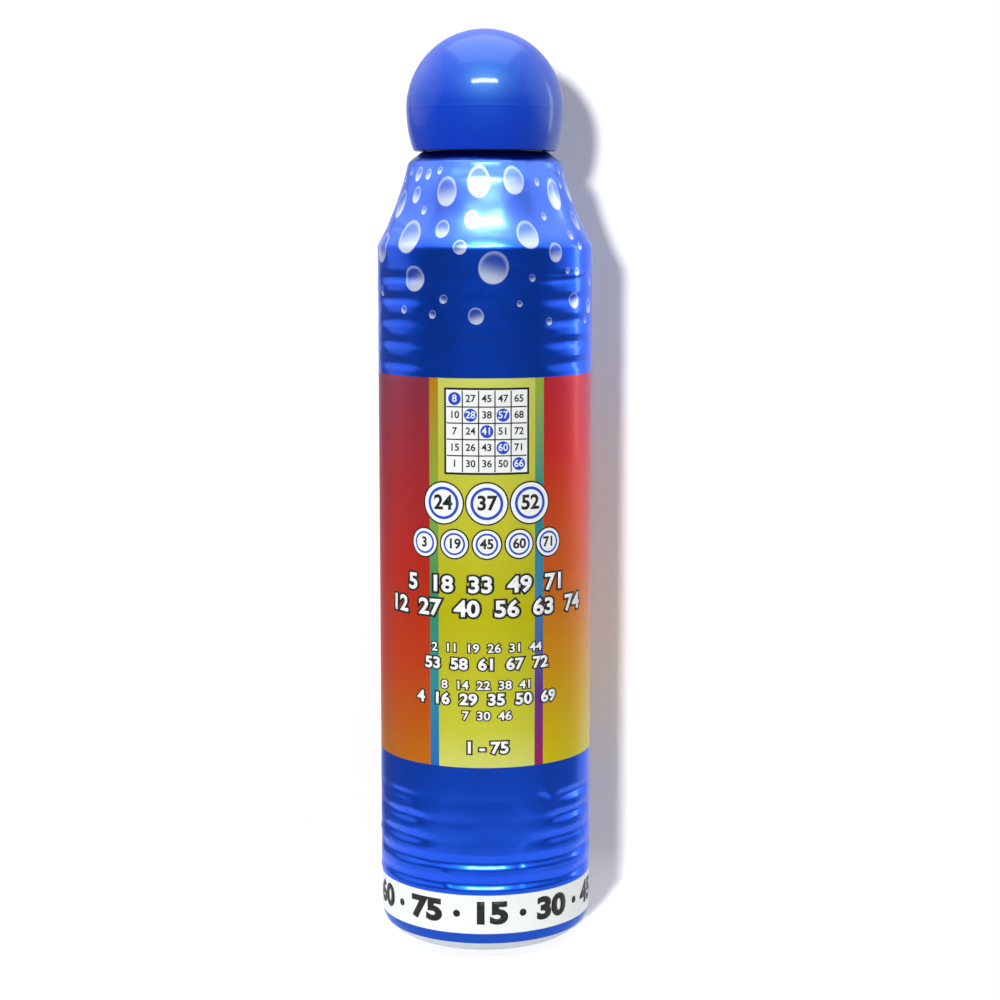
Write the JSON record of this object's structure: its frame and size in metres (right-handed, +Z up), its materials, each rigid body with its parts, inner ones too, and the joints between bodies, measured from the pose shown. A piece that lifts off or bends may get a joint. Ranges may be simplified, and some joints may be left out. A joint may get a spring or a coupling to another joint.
{
  "type": "bingo dauber",
  "caption": "Upright dye marker bottle with ribbed grips under a printed film sleeve, a spring-valved cloth-faced foam tip in its neck, and a ball-shaped screw cap.",
  "frame": {"origin": "middle of the base, on the surface that the bottle stands on", "axes": "+Z up along the bottle's axis, towards the cap; the printed front faces -Y; +X is to the right of someone who looks at the front"},
  "size_m": [0.036, 0.036, 0.1538],
  "materials": {
    "bottle": "natural, faintly translucent blown plastic",
    "sleeve": "printed metallic blue shrink film, glossy",
    "housing": "white moulded plastic, satin",
    "spring": "drawn stainless wire",
    "poppet": "natural moulded plastic, satin",
    "washer": "black rubber",
    "sponge": "open-cell foam, pale",
    "cloth": "fine woven cloth, tinted by the ink",
    "liner": "soft white foamed plastic",
    "cap": "royal blue moulded plastic, glossy"
  },
  "bodies": {
    "bottle": {"bottle": "bottle", "shrink_sleeve": "sleeve", "applicator_housing": "housing", "spring_cage": "housing", "valve_spring": "spring"},
    "tip": {"tip_holder": "housing", "tip_sponge": "sponge", "tip_cloth": "cloth", "cloth_ring": "housing", "valve_poppet": "poppet", "valve_washer": "washer"},
    "cap_liner": {"cap_liner": "liner"},
    "cap": {"cap_shell": "cap"}
  },
  "joints": [
    {"name": "tip_press", "type": "slide", "parent": "bottle", "child": "tip", "axis": [0, 0, -1], "range_m": [0, 0.0018], "stiffness_N_per_m": 500, "springref_m": -0.002, "deforming": ["valve_spring"]},
    {"name": "cap_lift", "type": "slide", "parent": "bottle", "child": "cap_liner", "axis": [0, 0, 1], "range_m": [0, 0.02]},
    {"name": "cap_turn", "type": "hinge", "parent": "cap_liner", "child": "cap", "pos_m": [0, 0, 0.14], "axis": [0, 0, 1], "range_deg": [0, 1800]}
  ],
  "couplings": [
    {"joint": "cap_turn", "follows": "cap_lift", "rad_per_m": 1570.8}
  ]
}
